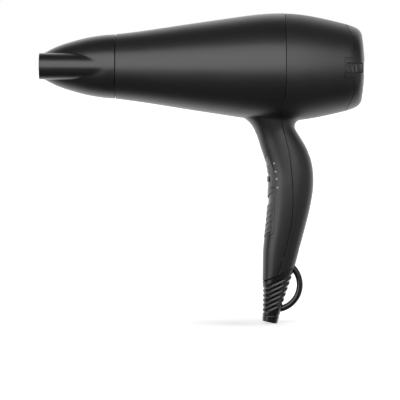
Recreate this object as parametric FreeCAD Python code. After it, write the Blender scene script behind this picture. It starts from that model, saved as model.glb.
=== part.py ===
import FreeCAD, Part
import functools
import math
import os
from FreeCAD import Vector

# A pistol hair dryer: a round barrel along the X axis with a push-on nozzle at its mouth (-X),
# an air intake cap at its back (+X), and a fixed handle that hangs below it (-Z).
# Millimetres. The origin is on the barrel's axis, in the plane of the barrel's mouth.

# ---------------------------------------------------------------- driving dimensions
WALL = 2.0
SHADOW = 0.45         # shadow line between two fixed mouldings
CLEAR = 0.35          # gap round a piece that moves

# barrel: outline as (x, radius), from the mouth to the edge of the rear cap
BARREL_LINE = [(0.0, 25.8), (28.0, 29.5), (57.0, 34.0), (86.0, 38.3), (112.0, 41.9), (128.0, 43.0),
               (146.0, 42.2), (166.0, 38.8), (181.0, 35.3), (190.5, 32.2), (194.0, 30.0)]
# handle: sections as (z, front x, rear x, half width), from inside the barrel down to the boot's end
GRIP_ROWS = [(-31.0, 95.0, 149.0, 18.8), (-41.6, 103.8, 144.6, 17.5), (-46.4, 108.6, 142.8, 16.6),
             (-51.2, 111.3, 144.6, 15.9), (-58.4, 114.1, 149.2, 15.5), (-68.0, 117.2, 154.2, 15.3),
             (-80.0, 120.9, 157.5, 15.3), (-96.8, 121.5, 158.0, 15.2), (-116.0, 121.1, 154.8, 14.5),
             (-136.0, 119.1, 149.8, 13.3), (-156.8, 118.0, 144.4, 11.8), (-168.0, 117.9, 141.3, 10.7),
             (-181.0, 118.2, 137.0, 9.0), (-197.6, 118.0, 132.0, 7.0), (-207.0, 117.9, 129.6, 6.1)]
GRIP_SQUARENESS = 2.2
NECK_FILLET = 5.0

# seam between the front and the rear housing, seen from the side, as (x, z)
SEAM = [(134.8, 60.0), (134.8, 28.0), (135.1, -4.0), (133.6, -31.0), (132.4, -40.0), (133.4, -49.0),
        (137.2, -62.5), (140.2, -82.0), (141.7, -104.0), (140.4, -125.0), (136.2, -145.0), (131.5, -160.0),
        (126.0, -178.0)]
LIP = 1.2
LIP_REACH = 3.0
LIP_END_Z = -150.5

# rear cap: front edge of its skirt, seen from the side, and the square tab on each cheek
CAP_EDGE = [(183.2, 35.5), (185.2, 30.5), (188.0, 24.0), (188.9, 14.0)]
CAP_TAB_X = 181.6
CAP_TAB_Z = 7.6
CAP_SKIRT_X = 188.9
CAP_FACE_X = 196.0
CAP_MOUTH_R = 26.4
CAP_SLEEVE_R = 29.6
CAP_FLANGE_R = 30.2
BAND_Z = 4.0
BAND_DEPTH = 1.0
SLOT_PITCH = 3.0
SLOT_WIDTH = 1.8
DOME_X = 198.3

# nozzle: outline of its dome as (x, radius), and the flat slot that crosses it
NOZZLE_LINE = [(-59.4, 9.0), (-56.4, 11.0), (-47.6, 15.5), (-38.0, 18.9), (-23.6, 22.8), (-10.0, 25.0),
               (-SHADOW, 25.7)]
NOZZLE_TIP_X = -60.6
SLOT_HALF_WIDTH = 24.9
SLOT_HALF_HEIGHT = 10.4
SLOT_BACK_X = -6.0
NOZZLE_WALL = 1.8
SPIGOT_R = 22.2
SPIGOT_BORE_R = 20.7
SPIGOT_SEAT_R = 23.7
SPIGOT_FRONT_X = -11.0

# motor, fan and heater
DUCT_R = 37.2
DUCT_BORE_R = 35.7
DUCT_X = (113.0, 156.0)
FAN_R = 34.9
FAN_X = (140.5, 154.5)
MOTOR_R = 15.2
MOTOR_X = (106.0, 136.0)
SHAFT_R = 1.0
COIL_R = 16.4
COIL_WIRE_R = 0.8
COIL_TURNS = 8
COIL_PITCH = 8.0
LEAD_R = 0.75

# boot and hang loop
CORD_MOUTH = Vector(123.7, 0, -204.0)
CORD_TILT = 9.2       # degrees from the vertical
CORD_BORE_R = 3.6
RIB_TILT = 24.0
RIB_PITCH = 3.8
RIB_GROOVE = 1.7
RIB_DEPTH = 0.8
RIB_COUNT = 6
LOOP_CENTRE = Vector(128.0, 0, -174.0)
LOOP_R = 19.8
LOOP_WIRE_R = 2.5

# controls on the handle's front, outlines as (y, z) for one half, top to bottom
PANEL_HALF = [(0.0, -75.6), (8.8, -70.4), (10.0, -78.0), (11.0, -92.0), (11.2, -120.0), (11.0, -132.2),
              (0.0, -137.8)]
SPEED_HALF = [(0.0, -112.9), (10.0, -107.7), (10.2, -120.0), (10.0, -131.0), (0.0, -136.2)]
TRACK_HALF = [(0.0, -104.4), (10.4, -99.2), (10.6, -120.0), (10.4, -131.4), (0.0, -136.7)]
TRACK_DEPTH = 0.9
CHEVRON_DEPTH = 0.2
CHEVRON_DROP = 5.2
MARKS = [(126.5, -76.4), (127.7, -83.0), (128.5, -88.8), (129.2, -95.6)]

X_AXIS = Vector(1, 0, 0)
Y_AXIS = Vector(0, 1, 0)
Z_AXIS = Vector(0, 0, 1)


# ---------------------------------------------------------------- shapes used by many pieces
def cyl(x0, x1, radius, y=0.0, z=0.0):
    """Round bar along X."""
    return Part.makeCylinder(radius, x1 - x0, Vector(x0, y, z), X_AXIS)


def pipe(x0, x1, outer, inner, y=0.0, z=0.0):
    """Round tube along X."""
    return cyl(x0, x1, outer, y, z).cut(cyl(x0 - 1, x1 + 1, inner, y, z))


def block(x0, x1, y0, y1, z0, z1):
    return Part.makeBox(x1 - x0, y1 - y0, z1 - z0, Vector(x0, y0, z0))


def prism_y(wire, half=60.0):
    """Side-view outline in the XZ plane, carried both ways along Y."""
    return Part.Face(wire).extrude(Vector(0, 2 * half, 0)).translated(Vector(0, -half, 0))


def prism_x(half_outline, x0, x1, grow=0.0):
    """Front-view outline, mirrored in Y, carried along X."""
    right = [Vector(x0, y, z) for y, z in half_outline]
    left = [Vector(x0, -y, z) for y, z in reversed(half_outline) if y > 0]
    face = Part.Face(Part.makePolygon(right + left + right[:1]))
    if grow:
        face = face.makeOffset2D(grow)
    return face.extrude(Vector(x1 - x0, 0, 0))


def joined(shapes):
    first, rest = shapes[0], shapes[1:]
    return first.multiFuse(rest).removeSplitter() if rest else first


def spun(shape, count, start=0.0):
    """Copies of a shape evenly round the X axis."""
    return [shape.rotated(Vector(0, 0, 0), X_AXIS, start + 360.0 * i / count) for i in range(count)]


def curve(points):
    line = Part.BSplineCurve()
    line.interpolate([Vector(x, 0, z) for x, z in points])
    return line


def inset(points, depth):
    """The outline moved inwards, square to itself."""
    line = curve(points)
    moved = []
    for x, z in points:
        along = line.tangent(line.parameter(Vector(x, 0, z)))[0]
        moved.append((x + along.z * depth, z - along.x * depth))
    return moved


def turned(points):
    """Solid of revolution about the X axis under an outline."""
    first, last = points[0], points[-1]
    edges = [curve(points).toShape(),
             Part.makeLine(Vector(last[0], 0, last[1]), Vector(last[0], 0, 0)),
             Part.makeLine(Vector(last[0], 0, 0), Vector(first[0], 0, 0)),
             Part.makeLine(Vector(first[0], 0, 0), Vector(first[0], 0, first[1]))]
    return Part.Face(Part.Wire(edges)).revolve(Vector(0, 0, 0), X_AXIS, 360)


# ---------------------------------------------------------------- the outer skin
@functools.lru_cache(maxsize=None)
def barrel(depth):
    return turned(inset(BARREL_LINE, depth))


def grip_section(z, front, rear, half_width, depth):
    """Rounded, slightly squared oval of the handle at one height."""
    half_depth = (rear - front) / 2 - depth
    half_width = half_width - depth
    power = 2 / GRIP_SQUARENESS
    points = []
    for i in range(16):
        angle = 2 * math.pi * i / 16
        c, s = math.cos(angle), math.sin(angle)
        points.append(Vector((front + rear) / 2 + half_depth * math.copysign(abs(c) ** power, c),
                             half_width * math.copysign(abs(s) ** power, s), z))
    oval = Part.BSplineCurve()
    oval.interpolate(points, PeriodicFlag=True)
    return Part.Wire(oval.toShape())


@functools.lru_cache(maxsize=None)
def grip(depth):
    return Part.makeLoft([grip_section(*row, depth) for row in GRIP_ROWS], True, False)


def below_boot_seam(shift):
    """Everything under the sloping joint between the handle and its boot."""
    arc = Part.Arc(Vector(104, 0, -174.4 + shift), Vector(127.6, 0, -167.2 + shift),
                   Vector(152, 0, -154.6 + shift)).toShape()
    low = -230.0
    edges = [arc, Part.makeLine(Vector(152, 0, -154.6 + shift), Vector(152, 0, low)),
             Part.makeLine(Vector(152, 0, low), Vector(104, 0, low)),
             Part.makeLine(Vector(104, 0, low), Vector(104, 0, -174.4 + shift))]
    return prism_y(Part.Wire(edges))


def behind_seam(shift):
    """Everything behind the joint between the two housings, moved along X by shift."""
    points = [(x + shift, z) for x, z in SEAM]
    corners = [(points[-1][0], -230.0), (260.0, -230.0), (260.0, points[0][1]), points[0]]
    corners = [Vector(x, 0, z) for x, z in corners]
    edges = [curve(points).toShape(), Part.makeLine(Vector(points[-1][0], 0, points[-1][1]), corners[0])]
    edges += [Part.makeLine(a, b) for a, b in zip(corners, corners[1:])]
    return prism_y(Part.Wire(edges))


def cap_zone(grow):
    """The space that belongs to the rear cap, with its two square tabs; grow widens it forwards."""
    upper = [(x - grow, z) for x, z in CAP_EDGE]
    lower = [(x, -z) for x, z in reversed(upper)]
    tab_z = CAP_TAB_Z + grow
    skirt, tab = CAP_SKIRT_X - grow, CAP_TAB_X - grow
    notch = [upper[-1], (skirt, tab_z), (tab, tab_z), (tab, -tab_z), (skirt, -tab_z), lower[0]]
    far = [lower[-1], (upper[0][0], -60.0), (230.0, -60.0), (230.0, 60.0), (upper[0][0], 60.0), upper[0]]
    edges = [curve(upper).toShape(), curve(lower).toShape()]
    for run in (notch, far):
        corners = [Vector(x, 0, z) for x, z in run]
        edges += [Part.makeLine(a, b) for a, b in zip(corners, corners[1:])]
    return prism_y(Part.Wire(Part.__sortEdges__(edges)))


def rounded_neck(shape):
    """Fillet where the handle runs into the barrel."""
    ring = [e for e in shape.Edges if -46 < e.BoundBox.ZMin and e.BoundBox.ZMax < -30
            and 90 < e.BoundBox.XMin and e.BoundBox.XMax < 155]
    return shape.makeFillet(NECK_FILLET, ring)


print("skin")
outer_barrel, outer_grip = barrel(0), grip(0)
outer = rounded_neck(outer_barrel.fuse(outer_grip))
inner = barrel(WALL).fuse(grip(WALL))
inner_lip = barrel(WALL + LIP).fuse(grip(WALL + LIP))
panel_opening = prism_x(PANEL_HALF, 105, 131, SHADOW)
cord_axis = Vector(-math.sin(math.radians(CORD_TILT)), 0, -math.cos(math.radians(CORD_TILT)))

nodes = {}


# ---------------------------------------------------------------- housings
def screw_posts(z, rear_x):
    """A front post with a pilot hole, and a rear post with a clearance hole and a recess for the head."""
    split = 137.6
    front = cyl(112.0, split, 3.3, 0, z)
    rear = cyl(split + 0.2, rear_x + 4, 3.9, 0, z)
    return front, rear


def loop_path(start_deg, end_deg):
    return Part.Arc(*[LOOP_CENTRE + Vector(math.cos(math.radians(a)), 0, math.sin(math.radians(a))) * LOOP_R
                      for a in (start_deg, (start_deg + end_deg) / 2, end_deg)]).toShape()


def loop_tube(radius, start_deg, end_deg):
    path = loop_path(start_deg, end_deg)
    start = path.valueAt(path.FirstParameter)
    along = path.tangentAt(path.FirstParameter)
    ring = Part.Wire(Part.makeCircle(radius, start, along))
    return Part.Wire(path).makePipeShell([ring], True, False)


POST_ROWS = [(-69.0, 154.3), (-144.5, 145.9)]


def housings():
    shell = outer.cut(inner).cut(below_boot_seam(SHADOW / 2))
    shell = shell.cut(cyl(-1, 8.2, SPIGOT_SEAT_R + 0.1))
    shell = shell.cut(cap_zone(CLEAR))
    shell = shell.cut(loop_tube(LOOP_WIRE_R + 0.15, 56, 20))
    front = shell.cut(behind_seam(-SHADOW / 2)).cut(panel_opening)
    rear = shell.common(behind_seam(SHADOW / 2))
    lip = inner.cut(inner_lip).common(behind_seam(-LIP_REACH).cut(behind_seam(2.0)))
    rear = rear.fuse(lip.cut(block(100, 160, -30, 30, -230.0, LIP_END_Z)))
    inside = outer.cut(below_boot_seam(SHADOW / 2))
    for z, rear_x in POST_ROWS:
        post, socket = screw_posts(z, rear_x)
        hidden = post.common(inside).cut(behind_seam(-LIP_REACH - 0.2).cut(inner_lip))
        front = front.fuse(hidden).cut(cyl(120.0, 140.0, 1.25, 0, z))
        rear = rear.fuse(socket.common(inside))
        rear = rear.cut(cyl(130.0, 170.0, 1.75, 0, z)).cut(cyl(rear_x - 6.0, 170.0, 3.1, 0, z))
    for y in (-6.4, 6.4):
        front = front.fuse(cyl(117.0, 130.8, 2.2, y, -155.5).common(inside))
        front = front.cut(cyl(122.0, 134.0, 0.9, y, -155.5))
    return front, rear


print("housings")
nodes["front_housing"], nodes["rear_housing"] = housings()

screws = []
for z, rear_x in POST_ROWS:
    head = cyl(rear_x - 6.0, rear_x - 3.8, 2.8, 0, z)
    head = head.cut(block(rear_x - 4.8, rear_x, -0.4, 0.4, z - 2, z + 2))
    head = head.cut(block(rear_x - 4.8, rear_x, -2, 2, z - 0.4, z + 0.4))
    screws.append(cyl(122.5, rear_x - 5.9, 1.2, 0, z).fuse(head))
nodes["housing_screws"] = Part.makeCompound(screws)


# ---------------------------------------------------------------- outlet and nozzle
def spigot():
    """Fixed collar in the barrel's mouth, over which the nozzle is pushed."""
    body = cyl(SPIGOT_FRONT_X, 8.0, SPIGOT_R).fuse(cyl(0.2, 8.0, SPIGOT_SEAT_R))
    body = body.cut(cyl(SPIGOT_FRONT_X - 1, 9.0, SPIGOT_BORE_R))
    front_edge = [e for e in body.Edges if abs(e.BoundBox.XMax - SPIGOT_FRONT_X) < 0.01
                  and e.BoundBox.ZMax > SPIGOT_R - 0.1]
    return body.makeFillet(0.6, front_edge)


def outlet_grille():
    """Rings and spokes that keep fingers and hair off the heater."""
    rings = [pipe(1.0, 3.4, r + 0.6, r - 0.6) for r in (4.0, 8.0, 12.0, 16.0)]
    rim = pipe(0.6, 4.6, SPIGOT_BORE_R - 0.05, SPIGOT_BORE_R - 1.4)
    spoke = block(1.2, 3.2, -0.6, 0.6, 0.0, SPIGOT_BORE_R - 0.8)
    hub = cyl(0.8, 3.6, 2.4)
    return joined(rings + [rim, hub] + spun(spoke, 8))


def stadium(x0, x1, half_width, half_height):
    """Flat slot with round cheeks, along X."""
    flat = half_width - half_height
    bars = [cyl(x0, x1, half_height, y) for y in (-flat, flat)]
    return joined([block(x0, x1, -flat, flat, -half_height, half_height)] + bars)


def nozzle():
    """Concentrator: a dome that closes from the round collar, crossed by a flat outlet slot."""
    dome = turned([(NOZZLE_TIP_X + 1.0, NOZZLE_LINE[0][1])] + NOZZLE_LINE[1:])
    bill = stadium(NOZZLE_TIP_X, SLOT_BACK_X, SLOT_HALF_WIDTH, SLOT_HALF_HEIGHT)
    body = dome.fuse(bill)
    hollow_line = inset(NOZZLE_LINE, NOZZLE_WALL)
    hollow_line = [hollow_line[0]] + hollow_line[1:-2] + [(-12.0, 22.0), (2.0, 22.6)]
    hollow = turned(hollow_line)
    slot = stadium(NOZZLE_TIP_X - 1, SLOT_BACK_X - 4.0, SLOT_HALF_WIDTH - NOZZLE_WALL,
                   SLOT_HALF_HEIGHT - NOZZLE_WALL)
    ring_groove = cyl(-7.4, -4.8, 23.3)
    return body.cut(hollow).cut(slot).cut(cyl(-11.6, 1.0, SPIGOT_R + 0.4)).cut(ring_groove)


print("nozzle")
nodes["outlet_spigot"] = spigot()
nodes["outlet_grille"] = outlet_grille()
nodes["nozzle"] = nozzle()
nodes["nozzle_clip_ring"] = pipe(-7.1, -5.1, 23.2, SPIGOT_R + 0.08)


# ---------------------------------------------------------------- rear cap
def band_slots(x0, x1):
    """Upright slots through each cheek of the cap, in the sunk band."""
    slots = []
    x = x0
    while x < x1:
        corners = [(x, BAND_Z - 0.5), (x + SLOT_WIDTH, BAND_Z - 0.5),
                   (x + SLOT_WIDTH + 1.0, -BAND_Z + 0.5), (x + 1.0, -BAND_Z + 0.5)]
        corners = [Vector(cx, 0, cz) for cx, cz in corners]
        slots.append(prism_y(Part.makePolygon(corners + corners[:1])))
        x += SLOT_PITCH
    return slots


def rear_cap():
    """Intake cap: rounded rim, skirt with two square tabs, and a sleeve that plugs into the barrel."""
    skin = turned(BARREL_LINE[:-1] + [(193.4, 30.5), (195.0, 28.7), (CAP_FACE_X, 26.7)])
    skin = skin.cut(barrel(WALL)).cut(cyl(190.0, 200.0, CAP_MOUTH_R))
    skin = skin.common(cap_zone(0.0))
    skin = skin.fuse(pipe(177.0, 191.0, CAP_SLEEVE_R, CAP_SLEEVE_R - 1.6))
    skin = skin.fuse(pipe(190.0, 193.4, CAP_FLANGE_R, 24.4))
    band = block(182.6, 210.0, -60, 60, -BAND_Z, BAND_Z)
    skin = skin.cut(band.cut(barrel(BAND_DEPTH)))
    core = block(150.0, 210.0, -CAP_SLEEVE_R + 0.2, CAP_SLEEVE_R - 0.2, -60, 60)
    for slot in band_slots(183.2, 192.5):
        skin = skin.cut(slot.cut(core))
    return skin


def sphere_cap(x_top, rise, radius):
    """Solid between a shallow dome, whose crown is at x_top, and the plane at its edge."""
    ball_r = (radius ** 2 + rise ** 2) / (2 * rise)
    ball = Part.makeSphere(ball_r, Vector(x_top - ball_r, 0, 0))
    return ball.common(cyl(x_top - rise - 0.001, x_top + 1, radius))


def rear_grille():
    """Shallow domed plate, pierced in rings, with the sunk band of slots across it."""
    radius = CAP_MOUTH_R - 0.15
    rise = DOME_X - CAP_FACE_X
    plate = sphere_cap(DOME_X, rise, radius).fuse(cyl(193.6, CAP_FACE_X, radius))
    hollow = sphere_cap(DOME_X - 1.6, rise, radius - 1.5).fuse(cyl(192.0, CAP_FACE_X - 1.6, radius - 1.5))
    plate = plate.cut(hollow)
    plate = plate.cut(block(197.0, 200.0, -40, 40, -BAND_Z, BAND_Z))
    plate = plate.cut(block(CAP_FACE_X - 0.4, 200.0, 18, 40, -BAND_Z, BAND_Z))
    plate = plate.cut(block(CAP_FACE_X - 0.4, 200.0, -40, -18, -BAND_Z, BAND_Z))
    holes = []
    for ring in range(1, 9):
        ring_r = 2.9 * ring
        count = 6 * ring
        for i in range(count):
            angle = 2 * math.pi * (i + 0.5 * (ring % 2)) / count
            y, z = ring_r * math.cos(angle), ring_r * math.sin(angle)
            if abs(z) > BAND_Z + 1.6 and ring_r < radius - 2.4:
                holes.append(cyl(192.5, 200.0, 0.95, y, z))
    y = -7.5 * SLOT_PITCH
    while y < 7.6 * SLOT_PITCH:
        holes.append(block(192.5, 200.0, y - SLOT_WIDTH / 2, y + SLOT_WIDTH / 2, -BAND_Z + 0.5, BAND_Z - 0.5))
        y += SLOT_PITCH
    return plate.cut(Part.makeCompound(holes))


def filter_mesh():
    """Lint screen behind the grille: a ring with a woven grid."""
    rim = pipe(191.2, 193.2, 24.3, 22.8)
    bars = []
    for i in range(-6, 7):
        offset = 3.4 * i
        half = math.sqrt(23.2 ** 2 - offset ** 2)
        bars.append(block(191.8, 192.2, offset - 0.3, offset + 0.3, -half, half))
        bars.append(block(192.1, 192.5, -half, half, offset - 0.3, offset + 0.3))
    return joined([rim] + bars)


print("cap")
nodes["rear_cap"] = rear_cap()
nodes["rear_grille"] = rear_grille()
nodes["filter_mesh"] = filter_mesh()


# ---------------------------------------------------------------- fan and motor
def vane(root_r, tip_r, x0, x1, root_deg, tip_deg, thickness):
    """A twisted blade standing out along Z, from one radius to another."""
    mid, half = (x0 + x1) / 2, (x1 - x0) / 2
    sections = []
    for radius, twist in ((root_r, root_deg), (tip_r, tip_deg)):
        a = math.radians(twist)
        chord = Vector(math.cos(a), math.sin(a), 0) * (half / math.cos(a) - thickness)
        side = Vector(-math.sin(a), math.cos(a), 0) * (thickness / 2)
        centre = Vector(mid, 0, radius)
        corners = [centre - chord - side, centre + chord - side, centre + chord + side, centre - chord + side]
        sections.append(Part.makePolygon(corners + corners[:1]))
    return Part.makeLoft(sections, True, True)


def fan_duct():
    """Ring that guides the air, with straightening vanes that carry the motor's sleeve."""
    ring = pipe(*DUCT_X, DUCT_R, DUCT_BORE_R)
    flange = pipe(126.0, 128.5, 40.6, DUCT_BORE_R)
    sleeve = pipe(107.0, 136.0, 18.6, 17.4)
    vanes = spun(vane(18.2, 36.2, 114.0, 135.0, -12, -22, 1.4), 7)
    ribs = spun(block(DUCT_X[0], 124.0, -0.6, 0.6, DUCT_R - 0.4, 38.2), 6)
    return joined([ring, flange, sleeve] + vanes + ribs)


def impeller():
    """Axial fan: a domed hub and nine twisted blades."""
    hub = cyl(FAN_X[0], FAN_X[1] - 3, 14.0).fuse(sphere_cap(FAN_X[1] + 1, 4.0, 14.0))
    hub = hub.cut(cyl(FAN_X[0] - 1, FAN_X[0] + 8, 12.4).cut(cyl(FAN_X[0] - 1, FAN_X[0] + 9, 4.0)))
    blades = spun(vane(13.2, 38.0, FAN_X[0], FAN_X[1], 32, 52, 1.5), 9)
    fan = joined([hub] + blades)
    return fan.common(cyl(FAN_X[0], FAN_X[1] + 2, FAN_R)).cut(cyl(FAN_X[0] - 1, FAN_X[0] + 9, SHAFT_R))


def motor_can():
    """Drawn steel can with a bearing boss and four vents."""
    can = cyl(*MOTOR_X, MOTOR_R).cut(cyl(MOTOR_X[0] + 1, MOTOR_X[1] + 1, MOTOR_R - 0.8))
    boss = cyl(MOTOR_X[0] - 2.0, MOTOR_X[0] + 0.5, 4.2)
    vent = cyl(MOTOR_X[0] - 1, MOTOR_X[0] + 2, 1.6, 0, 9.5)
    return can.fuse(boss).cut(cyl(MOTOR_X[0] - 1.4, MOTOR_X[0] + 2, 3.0)).cut(
        cyl(MOTOR_X[0] - 3, MOTOR_X[0] + 2, 1.6)).cut(Part.makeCompound(spun(vent, 4)))


def armature():
    """Three-pole laminated core with its windings."""
    core = cyl(112.0, 126.0, 10.6).cut(cyl(111.0, 127.0, SHAFT_R))
    slots = spun(block(111.0, 127.0, -1.0, 1.0, 6.0, 12.0), 3)
    slots += spun(block(111.0, 127.0, -4.6, 4.6, 5.0, 8.6), 3)
    return core.cut(joined(slots))


def windings():
    coils = []
    for angle in (60, 180, 300):
        coil = block(110.6, 127.4, -3.4, 3.4, 5.4, 8.2).cut(block(111.8, 126.2, -8, 8, 0, 12))
        coils += [s.rotated(Vector(0, 0, 0), X_AXIS, angle) for s in coil.Solids]
    return Part.makeCompound(coils)


def magnets():
    shell = pipe(110.0, 128.0, MOTOR_R - 0.85, 11.2)
    spans = ((2, 20), (-20, -2))
    return Part.makeCompound([shell.common(block(100, 140, -8.5, 8.5, *span)) for span in spans])


def end_cap():
    body = cyl(MOTOR_X[1], MOTOR_X[1] + 2.6, MOTOR_R - 0.2).fuse(cyl(132.0, MOTOR_X[1] + 1, MOTOR_R - 0.85))
    body = body.cut(cyl(131.0, MOTOR_X[1] - 0.2, MOTOR_R - 2.4))
    return body.cut(cyl(130.0, 140.0, 3.05))


print("fan")
nodes["fan_duct"] = fan_duct()
nodes["impeller"] = impeller()
nodes["motor_shaft"] = cyl(104.8, 147.0, SHAFT_R - 0.03)
nodes["motor_can"] = motor_can()
nodes["motor_end_cap"] = end_cap()
nodes["field_magnets"] = magnets()
nodes["armature"] = armature()
nodes["armature_windings"] = windings()
nodes["commutator"] = cyl(129.0, 134.6, 3.4).cut(joined(
    [cyl(128.0, 136.0, SHAFT_R)] + spun(block(129.6, 136.0, -0.2, 0.2, 2.0, 5.0), 3)))
brush_spans = ((3.7, 9.0), (-9.0, -3.7))
nodes["carbon_brushes"] = Part.makeCompound([block(130.2, 133.8, -1.6, 1.6, *s) for s in brush_spans])
nodes["front_bearing"] = pipe(104.7, 107.4, 2.95, SHAFT_R + 0.05)
nodes["rear_bearing"] = pipe(135.9, 138.5, 3.0, SHAFT_R + 0.05)
nodes["motor_damper"] = joined([pipe(111.0, 130.0, 17.3, MOTOR_R + 0.05)]).cut(
    joined(spun(block(110.0, 131.0, -1.2, 1.2, 16.4, 18.0), 12)))


# ---------------------------------------------------------------- heater
def mica_tube():
    line = [(9.0, 22.2), (50.0, 27.6), (97.0, 33.4)]
    return turned(line).cut(turned([(8.0, 21.5), (50.0, 27.1), (98.0, 33.0)]))


def mica_boards():
    """Two slotted mica plates crossed at right angles, with notches for the coil."""
    upright = block(12.0, 94.0, -0.4, 0.4, -19.0, 19.0)
    cross = joined([upright, upright.rotated(Vector(0, 0, 0), X_AXIS, 90)])
    notches = []
    for i in range(4 * COIL_TURNS + 1):
        x = 18.0 + COIL_PITCH * i / 4
        notches.append(spun(block(x - 1.4, x + 1.4, -1, 1, COIL_R - 1.6, 20.0), 4)[(i + 2) % 4])
    return cross.cut(Part.makeCompound(notches))


def coil(x0, x1, radius, wire_r, turns, y=0.0, z=0.0):
    """Round wire wound along X."""
    path = Part.makeHelix((x1 - x0) / turns, x1 - x0, radius)
    path.rotate(Vector(0, 0, 0), Y_AXIS, 90)
    path.translate(Vector(x0, y, z))
    edge = path.Edges[0]
    start = edge.valueAt(edge.FirstParameter)
    ring = Part.Wire(Part.makeCircle(wire_r, start, edge.tangentAt(edge.FirstParameter)))
    return Part.Wire(path.Edges).makePipeShell([ring], True, True)


def lead(points, radius):
    """Insulated lead: straight runs joined by tangent arcs."""
    points = [Vector(*p) for p in points]
    edges, at = [], points[0]
    for before, corner, after in zip(points, points[1:], points[2:]):
        reach = 0.45 * min((corner - before).Length, (after - corner).Length)
        into, out = (before - corner).normalize(), (after - corner).normalize()
        start, end = corner + into * reach, corner + out * reach
        half_angle = into.getAngle(out) / 2
        toward = (into + out).normalize()
        middle = corner + toward * (reach / math.cos(half_angle) - reach * math.tan(half_angle))
        edges += [Part.makeLine(at, start), Part.Arc(start, middle, end).toShape()]
        at = end
    edges.append(Part.makeLine(at, points[-1]))
    ring = Part.Wire(Part.makeCircle(radius, points[0], points[1] - points[0]))
    return Part.Wire(edges).makePipeShell([ring], True, False)


print("heater")
nodes["mica_tube"] = mica_tube()
nodes["mica_boards"] = mica_boards()
nodes["heater_coil"] = coil(18.0, 18.0 + COIL_PITCH * COIL_TURNS, COIL_R, COIL_WIRE_R, COIL_TURNS)
nodes["thermostat"] = Part.makeCylinder(4.6, 3.4, Vector(80.0, 0.5, 8.0), Y_AXIS).fuse(
    block(74.0, 88.0, 0.5, 1.1, 6.4, 9.6))
nodes["thermal_fuse"] = cyl(52.0, 62.0, 1.9, 2.9, 7.0).fuse(cyl(46.0, 68.0, 0.4, 2.9, 7.0))
nodes["diode_board"] = block(100.6, 102.0, -9.0, 9.0, -9.0, 9.0).fuse(
    block(97.4, 100.7, -5.0, 5.0, -6.0, 2.0)).cut(cyl(95.0, 105.0, 1.2, 0, 6.5))


lead_wires = []
for side in (-1, 1):
    shared = [(134.2, 5.5, -76.9), (131.5, 5.5, -60.0), (121.0, 4.5, -48.0), (110.8, 3.0, -39.0)]
    to_motor = shared + [(103.5, 3.0, -29.0), (101.3, 3.0, -18.0), (101.3, 3.0, -9.1)]
    to_heater = [(x - 0.4, y + 2.4, z + 0.2) for x, y, z in shared]
    to_heater += [(102.0, 5.0, -28.0), (96.5, 1.2, -14.0), (91.0, 1.2, -10.0)]
    for route in (to_motor, to_heater):
        lead_wires.append(lead([(x, y * side, z) for x, y, z in route], LEAD_R))
nodes["lead_wires"] = Part.makeCompound(lead_wires)


# ---------------------------------------------------------------- controls on the handle
def strip(depth_out, depth_in, region):
    """Piece of the handle's front skin between two depths, cut to an outline."""
    return grip(depth_out).cut(grip(depth_in)).common(region)


def switch_panel():
    face = strip(0.1, 2.9, prism_x(PANEL_HALF, 105, 131))
    face = face.cut(prism_x(TRACK_HALF, 105, 131).cut(grip(TRACK_DEPTH)))
    face = face.cut(block(105, 131, -12.0, 12.0, -96.4, -95.7).cut(grip(0.8)))
    face = face.cut(block(105, 131, -1.9, 1.9, -127.2, -113.8))
    face = face.cut(block(105, 131, -1.9, 1.9, -95.2, -87.2))
    return face.cut(cool_outline(0.35))


def cool_outline(grow):
    return prism_x([(0.0, -78.6), (6.4, -78.6), (6.4, -84.6), (0.0, -84.6)], 100, 131, grow)


def cool_button():
    cap = strip(-0.3, 2.2, cool_outline(0))
    return cap.fuse(block(123.0, 128.5, -1.8, 1.8, -83.4, -79.8).common(grip(1.0)))


def speed_slider():
    """Long thumb slider with chevron grooves, on a stem that reaches the switch."""
    knob = strip(-0.3, TRACK_DEPTH - 0.3, prism_x(SPEED_HALF, 105, 131))
    inside = grip(CHEVRON_DEPTH)
    grooves = []
    for i in range(1, 5):
        top = -107.7 - 4.7 * i
        low = top - CHEVRON_DROP
        chevron = [(0.0, low), (12.0, top), (12.0, top - 1.5), (0.0, low - 1.5)]
        grooves.append(prism_x(chevron, 105, 131).cut(inside))
    knob = knob.cut(Part.makeCompound(grooves))
    return knob.fuse(block(118.0, 129.4, -1.5, 1.5, -126.5, -122.5).common(inside))


def heat_slider():
    knob = strip(-0.9, -0.3, prism_x([(0.0, -87.2), (6.0, -87.2), (6.0, -91.4), (0.0, -91.4)], 105, 131))
    return knob.fuse(block(119.0, 129.4, -1.5, 1.5, -91.0, -87.6).common(grip(-0.5)))


def setting_marks():
    """Four small raised marks on each cheek of the handle."""
    skin = grip(-0.15).cut(grip(0.0))
    dots = []
    for x, z in MARKS:
        for side in (-1, 1):
            rod = Part.makeCylinder(0.7, 12, Vector(x, 8 * side, z), Y_AXIS * side)
            dots.append(skin.common(rod))
    return Part.makeCompound(dots)


print("controls")
nodes["switch_panel"] = switch_panel()
nodes["cool_shot_button"] = cool_button()
nodes["speed_slider"] = speed_slider()
nodes["heat_slider"] = heat_slider()
nodes["setting_marks"] = setting_marks()

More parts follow.
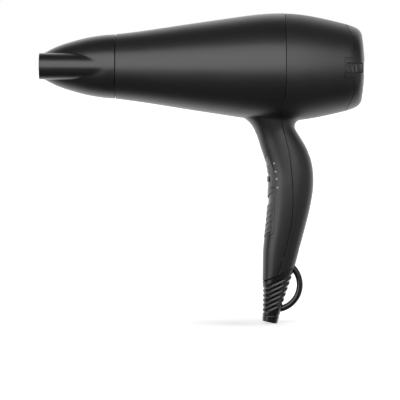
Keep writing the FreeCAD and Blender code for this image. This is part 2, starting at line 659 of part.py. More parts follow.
BOARD_X = (136.4, 138.0)
nodes["switch_board"] = block(*BOARD_X, -9.0, 9.0, -136.0, -77.0)
nodes["speed_switch"] = block(130.0, BOARD_X[0], -6.0, 6.0, -131.0, -107.0).cut(
    block(129.0, 134.0, -2.2, 2.2, -127.4, -113.0))
nodes["heat_switch"] = block(130.0, BOARD_X[0], -6.0, 6.0, -98.0, -85.6).cut(
    block(129.0, 134.0, -2.2, 2.2, -96.0, -86.4))
nodes["cool_switch"] = block(131.6, BOARD_X[0], -5.0, 5.0, -84.8, -78.0).cut(cyl(130.0, 134.2, 1.6, 0, -81.6))
nodes["speed_lever"] = block(129.4, 133.2, -1.5, 1.5, -126.0, -123.0)
nodes["heat_lever"] = block(129.4, 133.2, -1.5, 1.5, -90.6, -88.0)
nodes["cool_plunger"] = cyl(128.5, 132.6, 1.2, 0, -81.6)
nodes["cool_spring"] = coil(128.9, 131.2, 1.9, 0.25, 2.5, 0, -81.6)
nodes["capacitor"] = block(BOARD_X[1], 145.0, -6.5, 6.5, -112.0, -96.0)
nodes["cord_clamp"] = block(131.0, 134.0, -8.4, 8.4, -157.8, -153.2).cut(
    Part.makeCylinder(3.7, 12, Vector(128.9, 0, -162), Z_AXIS)).cut(
    joined([cyl(130.0, 136.0, 1.2, -6.4, -155.5), cyl(130.0, 136.0, 1.2, 6.4, -155.5)]))
nodes["clamp_screws"] = Part.makeCompound(
    [cyl(124.0, 134.2, 0.88, y, -155.5).fuse(cyl(134.0, 135.6, 1.9, y, -155.5)) for y in (-6.4, 6.4)])


# ---------------------------------------------------------------- boot and hang loop
def cord_boot():
    """Rubber strain relief: smooth shoulder, sloping ribs, plain end with the cord's bore."""
    end = Part.makeBox(80, 80, 40, Vector(-40, -40, 0))
    end.rotate(Vector(0, 0, 0), Y_AXIS, 180 + CORD_TILT)
    end.translate(CORD_MOUTH)
    body = outer_grip.common(below_boot_seam(-SHADOW / 2)).cut(end)
    mouth_edge = [e for e in body.Edges if e.BoundBox.ZMax < -200 and e.BoundBox.ZMin < -202]
    body = body.makeFillet(1.3, mouth_edge)
    core = grip(RIB_DEPTH)
    for i in range(RIB_COUNT):
        plate = Part.makeBox(80, 80, RIB_GROOVE, Vector(-40, -40, 0))
        plate.rotate(Vector(0, 0, 0), Y_AXIS, -RIB_TILT)
        plate.translate(Vector(119.0, 0, -177.6 - RIB_PITCH * i))
        body = body.cut(plate.cut(core))
    collar = block(100, 150, -30, 30, -198.9, -198.3).cut(grip(0.5))
    body = body.cut(collar)
    plug = grip(WALL + 0.1).common(block(100, 160, -30, 30, -172, -160)).cut(below_boot_seam(-SHADOW / 2))
    body = body.fuse(plug)
    hollow = grip(4.4).common(block(100, 160, -30, 30, -182.5, -150))
    body = body.cut(hollow)
    start = CORD_MOUTH + cord_axis * 2
    body = body.cut(Part.makeCylinder(CORD_BORE_R, 26, start, cord_axis * -1))
    return body.cut(loop_tube(LOOP_WIRE_R + 0.02, 60, -84))


print("boot")
nodes["cord_boot"] = cord_boot()
nodes["hang_loop"] = loop_tube(LOOP_WIRE_R, 50, -80)


os.makedirs("parts", exist_ok=True)
for name, shape in nodes.items():
    ok = shape.isValid() and all(s.isClosed() for s in shape.Shells)
    print(f"{name:20s} solids {len(shape.Solids)} valid {ok} volume {shape.Volume:.0f}")
    shape.exportStep(f"parts/{name}.step")
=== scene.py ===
import math

import bmesh
import bpy
from mathutils import Matrix, Vector


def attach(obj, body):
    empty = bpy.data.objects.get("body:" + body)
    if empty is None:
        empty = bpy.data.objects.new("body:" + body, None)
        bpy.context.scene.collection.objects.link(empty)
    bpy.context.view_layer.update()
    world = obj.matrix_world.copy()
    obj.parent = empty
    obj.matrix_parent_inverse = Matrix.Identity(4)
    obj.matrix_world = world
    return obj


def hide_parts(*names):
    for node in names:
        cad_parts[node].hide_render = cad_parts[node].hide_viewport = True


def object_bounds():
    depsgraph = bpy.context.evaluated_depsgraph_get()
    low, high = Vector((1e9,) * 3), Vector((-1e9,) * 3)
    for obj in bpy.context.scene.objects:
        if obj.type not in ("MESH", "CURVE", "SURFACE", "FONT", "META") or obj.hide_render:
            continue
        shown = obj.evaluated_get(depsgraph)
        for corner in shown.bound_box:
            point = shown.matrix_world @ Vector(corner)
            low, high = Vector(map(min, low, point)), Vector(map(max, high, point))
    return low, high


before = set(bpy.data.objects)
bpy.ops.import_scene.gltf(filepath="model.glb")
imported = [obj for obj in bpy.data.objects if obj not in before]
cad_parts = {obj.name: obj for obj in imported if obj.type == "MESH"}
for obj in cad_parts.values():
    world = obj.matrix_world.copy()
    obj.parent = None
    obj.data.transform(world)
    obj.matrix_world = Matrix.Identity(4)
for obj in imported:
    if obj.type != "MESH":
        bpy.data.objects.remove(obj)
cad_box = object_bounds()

MM = 0.001


# ------------------------------------------------------------------ front housing
# The barrel and the front half of the handle are one moulding in black ABS. The tool is spark
# eroded, so the skin has a very fine grain and a satin shine, and its edges are just broken.
class Value:
    """A shader socket whose sums are written as Python expressions."""

    def __init__(self, socket):
        self.socket = socket

    def node(self, kind, settings, inputs, output=0):
        """Any other node in the same tree: settings first, then the sockets' values or links."""
        tree = self.socket.id_data
        made = tree.nodes.new(kind)
        for key, setting in settings.items():
            if key == "stops":
                ramp = made.color_ramp
                for stop, (place, colour) in zip(list(ramp.elements), setting):
                    stop.position, stop.color = place, colour
            else:
                setattr(made, key, setting)
        for key, value in inputs.items():
            if isinstance(value, Value):
                tree.links.new(value.socket, made.inputs[key])
            else:
                made.inputs[key].default_value = value
        return Value(made.outputs[output])

    def sums(self, operation, first, second):
        return self.node("ShaderNodeMath", {"operation": operation}, {0: first, 1: second})

    def __add__(self, other):
        return self.sums("ADD", self, other)

    def __radd__(self, other):
        return self.sums("ADD", other, self)

    def __sub__(self, other):
        return self.sums("SUBTRACT", self, other)

    def __rsub__(self, other):
        return self.sums("SUBTRACT", other, self)

    def __mul__(self, other):
        return self.sums("MULTIPLY", self, other)

    def __rmul__(self, other):
        return self.sums("MULTIPLY", other, self)

    def __pow__(self, other):
        return self.sums("POWER", self, other)


def new_material(name, roughness, metallic=0.0):
    """A plain material, its shader, and the place on the piece that its patterns read."""
    material = bpy.data.materials.new(name)
    material.use_nodes = True
    tree = material.node_tree
    shader = tree.nodes["Principled BSDF"]
    shader.inputs["Roughness"].default_value = roughness
    shader.inputs["Metallic"].default_value = metallic
    place = Value(tree.nodes.new("ShaderNodeTexCoord").outputs["Object"])
    return material, shader, place


def feed(shader, socket, value):
    shader.id_data.links.new(value.socket, shader.inputs[socket])


def cloud(place, size, detail=2.0):
    """Soft noise, 0 to 1, with lumps of about the given size in metres."""
    return place.node("ShaderNodeTexNoise", {}, {"Vector": place, "Scale": 1 / size, "Detail": detail})


def between(place, amount, low, high):
    """A colour that goes from low to high."""
    return place.node("ShaderNodeMix", {"data_type": "RGBA"},
                      {"Factor": amount, "A": (*low, 1.0), "B": (*high, 1.0)}, "Result")


# How far the painted shade in narrow gaps looks for nearby surfaces.
CREVICE = 1.6 * MM


def moulded(name, colour, roughness, grain, depth, edge=0.25 * MM, specular=0.5):
    """Moulded plastic: eroded grain, faint flow marks, broken edges, and painted shade that turns its
    narrow gaps black.
    """
    material, shader, place = new_material(name, roughness)
    flow = cloud(place, 38 * MM)
    skin = cloud(place, grain, 3.0)
    smear = cloud(place, 9 * MM, 4.0)
    dark = tuple(0.86 * c for c in colour)
    light = tuple(1.14 * c for c in colour)
    feed(shader, "Base Color", between(place, flow * 0.6 + skin * 0.4, dark, light))
    feed(shader, "Roughness", roughness - 0.05 + smear * 0.06 + skin * 0.04)
    shader.inputs["Specular IOR Level"].default_value = specular
    rounded = place.node("ShaderNodeBevel", {"samples": 6}, {"Radius": edge})
    bumped = place.node("ShaderNodeBump", {}, {"Strength": 1.0, "Distance": depth, "Height": skin,
                                               "Normal": rounded})
    feed(shader, "Normal", bumped)
    # Painted shade: where ambient occlusion finds a narrow gap or crease, the shader is mixed towards a
    # near-black diffuse, so the dark in seams and crevices is painted into the material rather than cast by
    # the lights.
    open_sky = place.node("ShaderNodeAmbientOcclusion", {"samples": 8}, {"Distance": CREVICE}, "AO")
    lit = place.node("ShaderNodeMapRange", {}, {"Value": open_sky, "From Min": 0.30, "From Max": 0.62})
    tree = material.node_tree
    painted_shade_black = tree.nodes.new("ShaderNodeBsdfDiffuse")
    painted_shade_black.inputs["Color"].default_value = (0.001, 0.001, 0.001, 1.0)
    painted_gap_shade = tree.nodes.new("ShaderNodeMixShader")
    tree.links.new(lit.socket, painted_gap_shade.inputs["Fac"])
    tree.links.new(painted_shade_black.outputs["BSDF"], painted_gap_shade.inputs[1])
    tree.links.new(shader.outputs["BSDF"], painted_gap_shade.inputs[2])
    tree.links.new(painted_gap_shade.outputs["Shader"], tree.nodes["Material Output"].inputs["Surface"])
    return material


def finish_node(node, material):
    """Gives a piece of the frame its material."""
    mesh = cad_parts[node].data
    mesh.materials.clear()
    mesh.materials.append(material)


satin_black = moulded("satin_black", (0.0085, 0.0085, 0.0088), 0.37, 0.35 * MM, 0.012 * MM)
finish_node("front_housing", satin_black)


# ------------------------------------------------------------------ rear housing
# The back of the barrel and the handle's spine are a second moulding, in a slightly warmer black
# with a coarser, more matt grain. It meets the front along a fine shadow line.
matt_black = moulded("matt_black", (0.009, 0.0087, 0.0085), 0.43, 0.45 * MM, 0.018 * MM)
finish_node("rear_housing", matt_black)


# ------------------------------------------------------------------ nozzle
# The concentrator is a thin moulded dome that closes from a round collar, crossed by a flat slot
# with round cheeks that throws the air out in a sheet. It is pushed over the barrel's spigot.
COLLAR_X = -0.6 * MM
LIP_X = -60.6 * MM
DOME = [(-60.6, 8.2), (-56.4, 11.0), (-47.6, 15.5), (-38.0, 18.9), (-23.6, 22.8), (-10.0, 25.0),
        (-0.6, 25.7)]
SLOT_HALF_WIDTH = 24.9 * MM
SLOT_HALF_HEIGHT = 10.4 * MM
CREASE = 0.5 * MM
NOZZLE_WALL = 1.8 * MM
NOZZLE_SIDES = 256
NOZZLE_STEP = 0.75 * MM
SLOT_START_X = -4.0 * MM
SLOT_RUN = 6.0 * MM
SLOT_ROOT = 0.8


def along(points, x):
    """Height of a smooth curve through a few points, all in millimetres."""
    i = max(j for j in range(len(points) - 1) if points[j][0] <= x or j == 0)
    (x0, y0), (x1, y1) = points[i], points[i + 1]
    before = points[max(i - 1, 0)]
    after = points[min(i + 2, len(points) - 1)]
    slope0 = (y1 - before[1]) / (x1 - before[0])
    slope1 = (after[1] - y0) / (after[0] - x0)
    t, run = (x - x0) / (x1 - x0), x1 - x0
    return (y0 * (1 + 2 * t) * (1 - t) ** 2 + y1 * t * t * (3 - 2 * t)
            + run * (slope0 * t * (1 - t) ** 2 - slope1 * t * t * (1 - t)))


def slot_reach(angle):
    """Distance from the axis to the flat slot's outside, at an angle from +Y."""
    c, s = abs(math.cos(angle)), abs(math.sin(angle))
    flat = SLOT_HALF_WIDTH - SLOT_HALF_HEIGHT
    if s * flat > SLOT_HALF_HEIGHT * c:
        return SLOT_HALF_HEIGHT / s
    return flat * c + math.sqrt(SLOT_HALF_HEIGHT ** 2 - (flat * s) ** 2)


def softer_max(a, b, width):
    """The larger of two sizes, with a small fillet where they cross."""
    gap = max(width - abs(a - b), 0.0) / width
    return max(a, b) + gap * gap * width / 4


def new_piece(name, bm, material):
    """Turns a finished bmesh into an object with one material, shaded smooth but for sharp edges."""
    mesh = bpy.data.meshes.new(name)
    bm.to_mesh(mesh)
    bm.free()
    mesh.shade_smooth()
    mesh.set_sharp_from_angle(angle=math.radians(38))
    mesh.materials.append(material)
    piece = bpy.data.objects.new(name, mesh)
    bpy.context.collection.objects.link(piece)
    return piece


def ring_across_x(bm, x, sides):
    """A ring of edges of radius 1 round the X axis."""
    turn = Matrix.Rotation(math.radians(90), 4, "Y")
    place = Matrix.Translation((x, 0, 0)) @ turn
    made = bmesh.ops.create_circle(bm, segments=sides, radius=1.0, matrix=place)
    return list({e for v in made["verts"] for e in v.link_edges})


def pushed_out(bm, edges, move):
    """Extrudes a ring of edges and returns the new ring."""
    made = bmesh.ops.extrude_edge_only(bm, edges=edges)["geom"]
    bmesh.ops.translate(bm, verts=[g for g in made if isinstance(g, bmesh.types.BMVert)], vec=move)
    return [g for g in made if isinstance(g, bmesh.types.BMEdge)]


bm = bmesh.new()
ring = ring_across_x(bm, COLLAR_X, NOZZLE_SIDES)
steps = round((COLLAR_X - LIP_X) / NOZZLE_STEP)
for _ in range(steps):
    ring = pushed_out(bm, ring, ((LIP_X - COLLAR_X) / steps, 0, 0))
for v in bm.verts:
    angle = math.atan2(v.co.z, v.co.y)
    dome = along(DOME, v.co.x / MM) * MM
    ends = min(max((SLOT_START_X - v.co.x) / SLOT_RUN, 0.0), 1.0)
    reach = softer_max(dome, slot_reach(angle) * (SLOT_ROOT + (1 - SLOT_ROOT) * ends), CREASE)
    v.co.y, v.co.z = reach * math.cos(angle), reach * math.sin(angle)
bmesh.ops.recalc_face_normals(bm, faces=bm.faces)
nozzle_black = moulded("nozzle_black", (0.0085, 0.0085, 0.0088), 0.33, 0.3 * MM, 0.008 * MM)
nozzle = new_piece("nozzle_shell", bm, nozzle_black)
wall = nozzle.modifiers.new("wall", "SOLIDIFY")
wall.thickness, wall.offset, wall.use_even_offset = NOZZLE_WALL, -1.0, True
broken = nozzle.modifiers.new("broken_edges", "BEVEL")
broken.width, broken.segments, broken.limit_method = 0.35 * MM, 3, "ANGLE"
broken.angle_limit = math.radians(50)
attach(nozzle, "nozzle")
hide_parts("nozzle")


# ------------------------------------------------------------------ outlet
# A fixed collar in the barrel's mouth carries the nozzle. A ringed guard of heat-proof nylon sits
# in it, and a sprung steel ring in the nozzle's collar grips the collar from outside.
nylon_black = moulded("nylon_black", (0.012, 0.012, 0.0122), 0.48, 0.5 * MM, 0.015 * MM)
finish_node("outlet_spigot", nylon_black)
finish_node("outlet_grille", nylon_black)


def worked_metal(name, colour, roughness, line, depth, stretch=(1, 1, 1)):
    """Bare metal with fine drawn or turned lines, and a little tarnish."""
    material, shader, place = new_material(name, roughness, metallic=1.0)
    lined = place.node("ShaderNodeMapping", {}, {"Vector": place, "Scale": stretch})
    lines = cloud(lined, line, 3.0)
    tarnish = cloud(place, 6 * MM, 3.0)
    dull = tuple(0.7 * c for c in colour)
    feed(shader, "Base Color", between(place, tarnish * 0.5 + lines * 0.5, dull, colour))
    feed(shader, "Roughness", roughness - 0.06 + lines * 0.12)
    feed(shader, "Normal", place.node("ShaderNodeBump", {}, {"Distance": depth, "Height": lines}))
    return material


spring_steel = worked_metal("spring_steel", (0.56, 0.57, 0.6), 0.28, 0.3 * MM, 0.01 * MM, (1, 0.1, 0.1))
finish_node("nozzle_clip_ring", spring_steel)


# ------------------------------------------------------------------ rear cap and grille
# The intake cap pulls off for cleaning. Two square tabs locate it on the barrel's cheeks, a sunk
# band of upright slots runs from cheek to cheek, and the domed face is pierced in rings.
cap_black = moulded("cap_black", (0.009, 0.0087, 0.0086), 0.40, 0.4 * MM, 0.014 * MM)
finish_node("rear_cap", cap_black)
finish_node("rear_grille", cap_black)


# ------------------------------------------------------------------ lint screen
# A disc of blackened steel gauze, woven from fine wire and held in a ring behind the grille.
WAVE_TO_PITCH = 0.3


def woven(name, colour, pitch):
    """Fine gauze: two sets of wires that cross."""
    material, shader, place = new_material(name, 0.42, metallic=1.0)
    wires = {"Vector": place, "Scale": WAVE_TO_PITCH / pitch}
    across = place.node("ShaderNodeTexWave", {"bands_direction": "Y"}, wires, 1)
    up = place.node("ShaderNodeTexWave", {"bands_direction": "Z"}, wires, 1)
    dull = tuple(0.4 * c for c in colour)
    feed(shader, "Base Color", between(place, across * up, dull, colour))
    feed(shader, "Normal", place.node("ShaderNodeBump", {}, {"Distance": 0.05 * MM, "Height": across + up}))
    return material


finish_node("filter_mesh", woven("black_gauze", (0.16, 0.16, 0.17), 0.6 * MM))


# ------------------------------------------------------------------ switch panel and thumb controls
# A satin strip let into the handle's front carries the cool-shot button and the heat slider, and
# the long speed slider, with its chevron grooves for the thumb, runs in a track below them.
panel_grey = moulded("panel_grey", (0.05, 0.05, 0.052), 0.34, 0.3 * MM, 0.008 * MM)
finish_node("switch_panel", panel_grey)
knob_grey = moulded("knob_grey", (0.045, 0.045, 0.047), 0.34, 0.3 * MM, 0.012 * MM)
for control in ("cool_shot_button", "heat_slider", "speed_slider"):
    finish_node(control, knob_grey)


# ------------------------------------------------------------------ setting marks
# Four small marks beside the controls, printed in light grey ink that stands a hair proud.
ink = moulded("mark_ink", (0.30, 0.30, 0.30), 0.55, 0.15 * MM, 0.01 * MM)
finish_node("setting_marks", ink)


# ------------------------------------------------------------------ cord boot
# Strain relief in soft black rubber: a smooth shoulder under the handle, then sloping ribs that
# let it bend, then a plain end with the cord's hole. It is moulded in one piece.
BOOT_ROWS = [(-207.0, 117.9, 129.6, 6.1), (-197.6, 118.0, 132.0, 7.0), (-181.0, 118.2, 137.0, 9.0),
             (-168.0, 117.9, 141.3, 10.7), (-156.8, 118.0, 144.4, 11.8), (-136.0, 119.1, 149.8, 13.3)]
BOOT_SQUARENESS = 2.2
BOOT_TOP = (127.6, -167.45, 0.409, 0.0044)
BOOT_END = (123.7, -204.0, -0.162)
BOOT_STEPS = 130
BOOT_SIDES = 128
RIB_TOP = (118.0, -176.9)
RIB_TILT = math.radians(24)
RIB_PITCH = 3.47
RIB_COUNT = 6
RIB_DEPTH = 0.75
COLLAR_Z = -198.6
COLLAR_DEPTH = 0.5
COLLAR_HALF = 0.5
BROKEN = 0.6
FOOT_ROUND = 1.3
CORD_HOLE = 3.6
CORD_HOLE_DEPTH = 14.0
CORD_AXIS = (0.16, 0.987)
PLUG = 2.1
PLUG_RISE = 4.0
RIB_SHARPNESS = 1.6


def boot_top(x):
    """Height of the sloping joint under the handle."""
    x0, z0, slope, bend = BOOT_TOP
    return z0 + slope * (x - x0) + bend * (x - x0) ** 2


def boot_point(down, angle):
    """A place on the boot's plain skin, and how far inwards the middle of its section lies."""
    x = 128.0
    for _ in range(4):
        low_z = BOOT_END[1] + BOOT_END[2] * (x - BOOT_END[0])
        z = boot_top(x) * (1 - down) + low_z * down
        front, back, half = [along([(row[0], row[i]) for row in BOOT_ROWS], z) for i in (1, 2, 3)]
        c, s = math.cos(angle), math.sin(angle)
        power = 2 / BOOT_SQUARENESS
        x = (front + back) / 2 + (back - front) / 2 * math.copysign(abs(c) ** power, c)
    return Vector((x, half * math.copysign(abs(s) ** power, s), z)), Vector(((front + back) / 2, 0, z))


def rib_groove(place):
    """Depth of the groove between two ribs, at a place on the boot."""
    below = (RIB_TOP[1] - place.z + math.tan(RIB_TILT) * (place.x - RIB_TOP[0])) * math.cos(RIB_TILT)
    if abs(below - (RIB_COUNT - 1) * RIB_PITCH / 2) > RIB_COUNT * RIB_PITCH / 2:
        return 0.0
    wave = 0.5 + 0.5 * math.cos(2 * math.pi * below / RIB_PITCH)
    return RIB_DEPTH * wave ** RIB_SHARPNESS


def in_turn(ring):
    """The points of a ring about X, in order of angle."""
    return sorted({v for e in ring for v in e.verts}, key=lambda v: math.atan2(v.co.z, v.co.y))


bm = bmesh.new()
ring = ring_across_x(bm, 0.0, BOOT_SIDES)
angles = [2 * math.pi * i / BOOT_SIDES for i in range(BOOT_SIDES)]
rows = [in_turn(ring)]
plans = [("plug", 0.0)] + [("lip", i / 4) for i in range(5)]
plans += [("skin", (i + 1) / BOOT_STEPS) for i in range(BOOT_STEPS - 1)]
plans += [("foot", i / 6) for i in range(1, 7)] + [("hole", 0.0), ("hole", 1.0)]
for _ in plans[1:]:
    ring = pushed_out(bm, ring, (1.0, 0, 0))
    rows.append(in_turn(ring))
for (part, step), row in zip(plans, rows):
    for v, angle in zip(row, angles):
        down = {"plug": 0.0, "lip": 0.0, "skin": step, "foot": 1.0, "hole": 1.0}[part]
        skin, middle = boot_point(down, angle)
        inwards = (middle - skin).normalized()
        turn = math.radians(90) * step
        if part == "plug":
            v.co = skin + inwards * PLUG + Vector((0, 0, PLUG_RISE))
        elif part == "lip":
            drop = Vector((0, 0, BROKEN * (1 - math.cos(turn))))
            v.co = skin + inwards * BROKEN * (1 - math.sin(turn)) - drop
        elif part == "skin":
            collar = COLLAR_DEPTH * max(0.0, 1 - abs(skin.z - COLLAR_Z) / COLLAR_HALF)
            v.co = skin + inwards * max(rib_groove(skin), collar)
        elif part == "foot":
            rise = Vector((0, 0, FOOT_ROUND * (1 - math.sin(turn))))
            v.co = skin + inwards * FOOT_ROUND * (1 - math.cos(turn)) + rise
        else:
            up = CORD_HOLE_DEPTH * step
            rim = Vector((BOOT_END[0] + CORD_HOLE * math.cos(angle), CORD_HOLE * math.sin(angle), 0))
            rim.z = BOOT_END[1] + BOOT_END[2] * (rim.x - BOOT_END[0])
            v.co = rim + Vector((CORD_AXIS[0], 0, CORD_AXIS[1])) * up
for v in bm.verts:
    v.co *= MM
bmesh.ops.recalc_face_normals(bm, faces=bm.faces)
boot_rubber = moulded("boot_rubber", (0.008, 0.008, 0.0082), 0.28, 0.6 * MM, 0.006 * MM)
boot = new_piece("cord_boot_skin", bm, boot_rubber)
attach(boot, "dryer_body")
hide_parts("cord_boot")


# ------------------------------------------------------------------ hang loop
# A soft round cord of the same rubber, let into the back of the boot at both ends, that hangs the
# dryer on a hook.
finish_node("hang_loop", boot_rubber)


# ------------------------------------------------------------------ air duct and fan
# The fan's nine twisted blades are moulded in one piece with their hub and run in a duct with
# straightening vanes. Both are glass-filled nylon, dull and slightly mottled.
duct_nylon = moulded("duct_nylon", (0.035, 0.035, 0.038), 0.52, 0.7 * MM, 0.02 * MM)
finish_node("fan_duct", duct_nylon)
fan_nylon = moulded("fan_nylon", (0.022, 0.022, 0.024), 0.45, 0.5 * MM, 0.012 * MM)
finish_node("impeller", fan_nylon)


# ------------------------------------------------------------------ motor
# A small brushed motor: a drawn steel can with ferrite magnets, a stacked steel armature wound in
# enamelled copper, carbon brushes on a copper commutator, and sintered bronze bearings.
drawn_steel = worked_metal("drawn_steel", (0.60, 0.60, 0.62), 0.27, 0.3 * MM, 0.004 * MM, (0.1, 1, 1))
for node in ("motor_can", "motor_shaft"):
    finish_node(node, drawn_steel)
finish_node("motor_end_cap", moulded("end_cap_resin", (0.05, 0.042, 0.036), 0.5, 0.4 * MM, 0.01 * MM))
finish_node("field_magnets", moulded("ferrite", (0.055, 0.055, 0.06), 0.68, 0.2 * MM, 0.02 * MM))
finish_node("armature", worked_metal("lamination", (0.38, 0.38, 0.4), 0.38, 0.35 * MM, 0.02 * MM,
                                     (1, 0.04, 0.04)))
finish_node("armature_windings", worked_metal("enamelled_copper", (0.66, 0.26, 0.10), 0.24, 0.4 * MM,
                                              0.05 * MM, (0.1, 1, 1)))
finish_node("commutator", worked_metal("bare_copper", (0.80, 0.42, 0.25), 0.30, 0.2 * MM, 0.006 * MM,
                                       (1, 0.1, 0.1)))
finish_node("carbon_brushes", moulded("carbon", (0.018, 0.018, 0.019), 0.58, 0.15 * MM, 0.012 * MM))
sintered_bronze = worked_metal("sintered_bronze", (0.55, 0.38, 0.20), 0.5, 0.15 * MM, 0.02 * MM)
for node in ("front_bearing", "rear_bearing"):
    finish_node(node, sintered_bronze)
finish_node("motor_damper", moulded("damper_rubber", (0.02, 0.02, 0.02), 0.66, 0.6 * MM, 0.02 * MM))


# ------------------------------------------------------------------ heater
# Resistance wire coiled round crossed mica boards inside a mica tube, with a thermostat and a
# thermal fuse beside it. The wire is oxidised brown and the mica is silvery and flaked.
def flaked(name, low, high, size):
    """Pressed mica: flat flakes that each catch the light a little differently."""
    material, shader, place = new_material(name, 0.4)
    flakes = place.node("ShaderNodeTexVoronoi", {}, {"Vector": place, "Scale": 1 / size}, "Color")
    shade = flakes.node("ShaderNodeSeparateColor", {}, {"Color": flakes})
    feed(shader, "Base Color", between(place, shade * 0.7 + cloud(place, 5 * size) * 0.3, low, high))
    feed(shader, "Roughness", 0.28 + shade * 0.2)
    feed(shader, "Normal", place.node("ShaderNodeBump", {}, {"Distance": 0.03 * MM, "Height": shade}))
    return material


mica = flaked("mica", (0.30, 0.24, 0.16), (0.56, 0.49, 0.38), 1.2 * MM)
for node in ("mica_tube", "mica_boards"):
    finish_node(node, mica)
finish_node("heater_coil", worked_metal("heating_wire", (0.34, 0.27, 0.22), 0.42, 0.6 * MM, 0.004 * MM))
for node in ("thermostat", "thermal_fuse"):
    finish_node(node, drawn_steel)


# ------------------------------------------------------------------ electrics
# Green boards carry the rectifier diodes and the three switches, and silicone leads run from the
# switches to the heater and the motor. A yellow film capacitor keeps the motor's noise off the cord.
def green_board(name, mask, track):
    """Solder mask with fine parallel copper tracks showing through it."""
    material, shader, place = new_material(name, 0.32)
    rows = place.node("ShaderNodeTexWave", {"bands_direction": "Z"},
                      {"Vector": place, "Scale": 130.0, "Distortion": 1.5, "Detail": 1.0}, 1)
    edges = rows.node("ShaderNodeMapRange", {}, {"Value": rows, "From Min": 0.72, "From Max": 0.80})
    feed(shader, "Base Color", between(place, edges, mask, track))
    feed(shader, "Normal", place.node("ShaderNodeBump", {}, {"Distance": 0.03 * MM, "Height": edges}))
    return material


board = green_board("board", (0.012, 0.075, 0.03), (0.035, 0.16, 0.06))
for node in ("diode_board", "switch_board"):
    finish_node(node, board)
component = moulded("component", (0.025, 0.025, 0.028), 0.30, 0.5 * MM, 0.006 * MM)
for node in ("speed_switch", "heat_switch", "cool_switch", "speed_lever", "heat_lever", "cool_plunger"):
    finish_node(node, component)
finish_node("cool_spring", spring_steel)
finish_node("capacitor", moulded("capacitor_case", (0.62, 0.42, 0.06), 0.28, 0.8 * MM, 0.006 * MM))
finish_node("lead_wires", moulded("lead_insulation", (0.24, 0.24, 0.26), 0.55, 0.5 * MM, 0.008 * MM))


# ------------------------------------------------------------------ fixings
# Zinc-plated screws hold the two housings and the cord clamp, whose saddle is moulded nylon.
screw_steel = worked_metal("screw_steel", (0.50, 0.50, 0.52), 0.34, 0.2 * MM, 0.006 * MM, (1, 1, 0.2))
for node in ("housing_screws", "clamp_screws"):
    finish_node(node, screw_steel)
finish_node("cord_clamp", component)


# ------------------------------------------------------------------ stage, light and camera
# A pale seamless floor under one broad soft source high in front, with a bright surround behind
# the dryer that draws its rims, and darkness overhead and below that models the round forms.
HALF_FLOOR = 40.0
FLOOR_GREY = 0.40
# Painted shadow: the floor glows so that it reads white, and its glow is dimmed round a point under the
# foot, which paints a soft contact shadow there.
GLOW_IN_PAINTED_SHADOW = 0.42
GLOW_FAR = 1.1
PAINTED_SHADOW_REACH = 0.14
PAINTED_SHADOW_X = 95 * MM
low = cad_box[0]
bm = bmesh.new()
bmesh.ops.create_grid(bm, x_segments=2, y_segments=2, size=HALF_FLOOR,
                      matrix=Matrix.Translation((0, 0, low.z - 0.2 * MM)))
pale, shader, place = new_material("pale_floor", 0.9)
feed(shader, "Base Color", between(place, cloud(place, 0.4), (FLOOR_GREY,) * 3, (1.03 * FLOOR_GREY,) * 3))
# Painted shadow: the glow rises from its low value under the foot to its full value further out.
from_foot = place.node("ShaderNodeVectorMath", {"operation": "DISTANCE"},
                       {0: place, 1: (PAINTED_SHADOW_X, 0, low.z)}, "Value")
glow_and_painted_shadow = place.node("ShaderNodeMapRange", {}, {"Value": from_foot, "From Max": PAINTED_SHADOW_REACH,
                                             "To Min": GLOW_IN_PAINTED_SHADOW, "To Max": GLOW_FAR})
feed(shader, "Emission Color", glow_and_painted_shadow)
shader.inputs["Emission Strength"].default_value = 1.0
shader.inputs["Specular IOR Level"].default_value = 0.0
floor = new_piece("floor", bm, pale)
floor.visible_glossy = False
floor.visible_diffuse = False


def soft_box(name, place, aim, width, height, level):
    """Area light of an even brightness, facing the point aim."""
    light = bpy.data.lights.new(name, "AREA")
    light.shape, light.size, light.size_y = "RECTANGLE", width, height
    light.energy = level * math.pi * width * height
    box = bpy.data.objects.new(name, light)
    box.location = place
    box.rotation_euler = (Vector(place) - Vector(aim)).to_track_quat("Z", "Y").to_euler()
    box.visible_camera = False
    bpy.context.collection.objects.link(box)


soft_box("key", (0.03, -0.52, 0.20), (0.08, 0.0, 0.0), 1.0, 0.60, 3.2)
soft_box("left", (-0.42, -0.42, -0.12), (0.12, 0.0, -0.12), 0.50, 0.40, 2.8)
soft_box("right", (0.70, -0.30, -0.10), (0.14, 0.0, -0.10), 0.50, 0.60, 0.6)

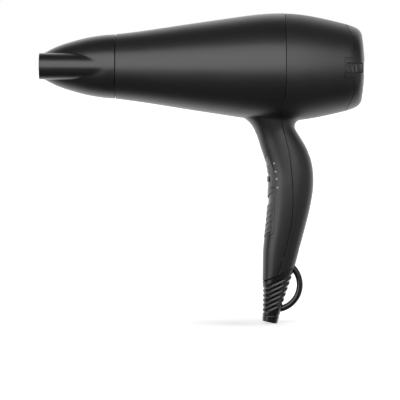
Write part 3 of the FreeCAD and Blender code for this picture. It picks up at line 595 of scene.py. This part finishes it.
REAR_LEVEL = 1.6
AMBIENT = 0.04
REAR_AXIS = (0, 1, -0.15)
SIDE_SHARE = (0.35, 0, 0)
world = bpy.data.worlds.new("surround")
bpy.context.scene.world = world
world.use_nodes = True
tree = world.node_tree
background = tree.nodes["Background"]
direction = Value(tree.nodes.new("ShaderNodeTexCoord").outputs["Generated"])
seen = Value(tree.nodes.new("ShaderNodeLightPath").outputs["Is Camera Ray"])
sideways = direction.node("ShaderNodeVectorMath", {"operation": "ABSOLUTE"}, {0: direction})
dot = {"operation": "DOT_PRODUCT"}
behind = direction.node("ShaderNodeVectorMath", dot, {0: direction, 1: REAR_AXIS}, "Value")
beside = direction.node("ShaderNodeVectorMath", dot, {0: sideways, 1: SIDE_SHARE}, "Value")
rear = direction.node("ShaderNodeMapRange", {"interpolation_type": "SMOOTHSTEP"},
                      {"Value": behind + beside, "From Min": 0.25, "From Max": 0.8, "To Max": REAR_LEVEL})
feed(background, "Color", direction.node("ShaderNodeMix", {"data_type": "RGBA"},
     {"Factor": seen, "A": AMBIENT + rear, "B": (1, 1, 1, 1)}, "Result"))
background.inputs["Strength"].default_value = 1.0

PICTURE_CENTRE = Vector((67.6 * MM, 0.0, -106.4 * MM))
PICTURE_WIDTH = 320 * MM
LENS = 300.0
SENSOR = 36.0
CAMERA_PITCH = math.radians(2.5)
CAMERA_ROLL = math.radians(0.26)
camera = bpy.data.objects.new("camera", bpy.data.cameras.new("camera"))
camera.data.lens, camera.data.sensor_width = LENS, SENSOR
distance = PICTURE_WIDTH * LENS / SENSOR
camera.location = PICTURE_CENTRE + Vector((0, -math.cos(CAMERA_PITCH), math.sin(CAMERA_PITCH))) * distance
upright = Matrix.Rotation(math.radians(90) - CAMERA_PITCH, 3, "X")
camera.rotation_euler = (upright @ Matrix.Rotation(CAMERA_ROLL, 3, "Z")).to_euler()
camera.data.clip_end = 100.0
bpy.context.collection.objects.link(camera)
bpy.context.scene.camera = camera
bpy.context.scene.view_settings.view_transform = "Standard"
